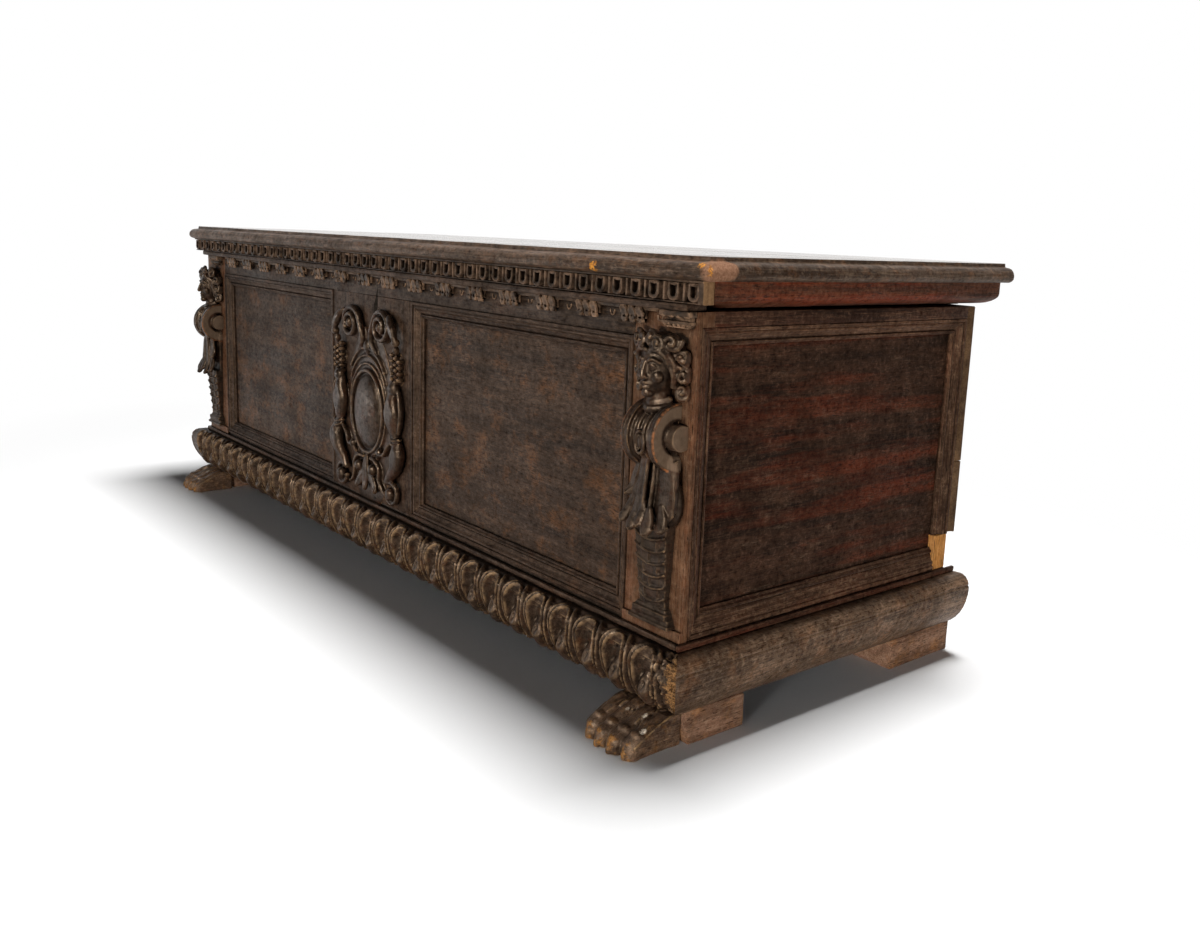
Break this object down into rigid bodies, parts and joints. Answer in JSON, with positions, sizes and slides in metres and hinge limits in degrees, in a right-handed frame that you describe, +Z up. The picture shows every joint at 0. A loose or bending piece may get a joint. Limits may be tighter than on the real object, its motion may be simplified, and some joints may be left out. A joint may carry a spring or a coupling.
{
  "type": "carved chest",
  "caption": "Low carved walnut chest with a hinged lid, sunk front panels between term figures and a cartouche, a gadrooned base moulding and paw feet.",
  "frame": {"origin": "middle of the outer box, on the floor", "axes": "+Z up, +X along the front towards its right-hand end as the viewer sees it, -Y out of the carved front"},
  "size_m": [1.6848, 0.66, 0.5855],
  "materials": {
    "walnut_front": "old waxed walnut, dark brown with worn patches",
    "walnut_carved": "carved walnut, waxed high spots over dark hollows",
    "walnut_side": "old walnut with reddish streaks, low sheen",
    "walnut_lid": "polished old walnut",
    "walnut_paw": "rubbed golden brown walnut",
    "rough_boards": "plain sawn boards, unpolished",
    "new_wood": "light new wood, unfinished",
    "wrought_iron": "forged, dull"
  },
  "bodies": {
    "case": {"back_board_lower": "rough_boards", "back_board_upper": "rough_boards", "base_fillet_front": "walnut_front", "base_fillet_left": "walnut_side", "base_fillet_right": "walnut_side", "base_front": "walnut_carved", "base_side_left": "walnut_side", "base_side_right": "walnut_side", "cartouche": "walnut_carved", "case_leaf_nails": "wrought_iron", "centre_muntin": "walnut_front", "corner_repair": "new_wood", "crown_fillet": "walnut_front", "dentil_course": "walnut_carved", "floor_boards": "rough_boards", "front_block_left": "rough_boards", "front_block_right": "rough_boards", "front_bottom_rail": "walnut_front", "front_moulding_left": "walnut_front", "front_moulding_right": "walnut_front", "front_panel_left": "walnut_front", "front_panel_right": "walnut_front", "front_stile_left": "walnut_front", "front_stile_right": "walnut_front", "front_top_rail": "walnut_front", "herm_capital_left": "walnut_carved", "herm_capital_right": "walnut_carved", "herm_left": "walnut_carved", "herm_right": "walnut_carved", "hinge_case_leaf_left": "wrought_iron", "hinge_case_leaf_right": "wrought_iron", "hinge_pin_left": "wrought_iron", "hinge_pin_right": "wrought_iron", "paw_left": "walnut_paw", "paw_right": "walnut_paw", "rear_block_left": "rough_boards", "rear_block_right": "rough_boards", "side_bottom_rail_left": "walnut_side", "side_bottom_rail_right": "walnut_side", "side_moulding_left": "walnut_side", "side_moulding_right": "walnut_side", "side_panel_left": "walnut_side", "side_panel_right": "walnut_side", "side_stile_left": "walnut_side", "side_stile_right": "walnut_side", "side_top_rail_left": "walnut_side", "side_top_rail_right": "walnut_side"},
    "lid": {"hinge_lid_leaf_left": "wrought_iron", "hinge_lid_leaf_right": "wrought_iron", "lid_batten": "rough_boards", "lid_board_front": "walnut_lid", "lid_board_rear": "walnut_lid", "lid_cleat_left": "walnut_side", "lid_cleat_right": "walnut_side", "lid_frieze": "walnut_carved", "lid_leaf_nails": "wrought_iron", "lid_strip_front": "walnut_lid", "lid_strip_left": "walnut_lid", "lid_strip_right": "walnut_lid"}
  },
  "joints": [
    {"name": "lid_hinge", "type": "hinge", "parent": "case", "child": "lid", "pos_m": [0, 0.3125, 0.5235], "axis": [-1, 0, 0], "range_deg": [0, 100]}
  ]
}
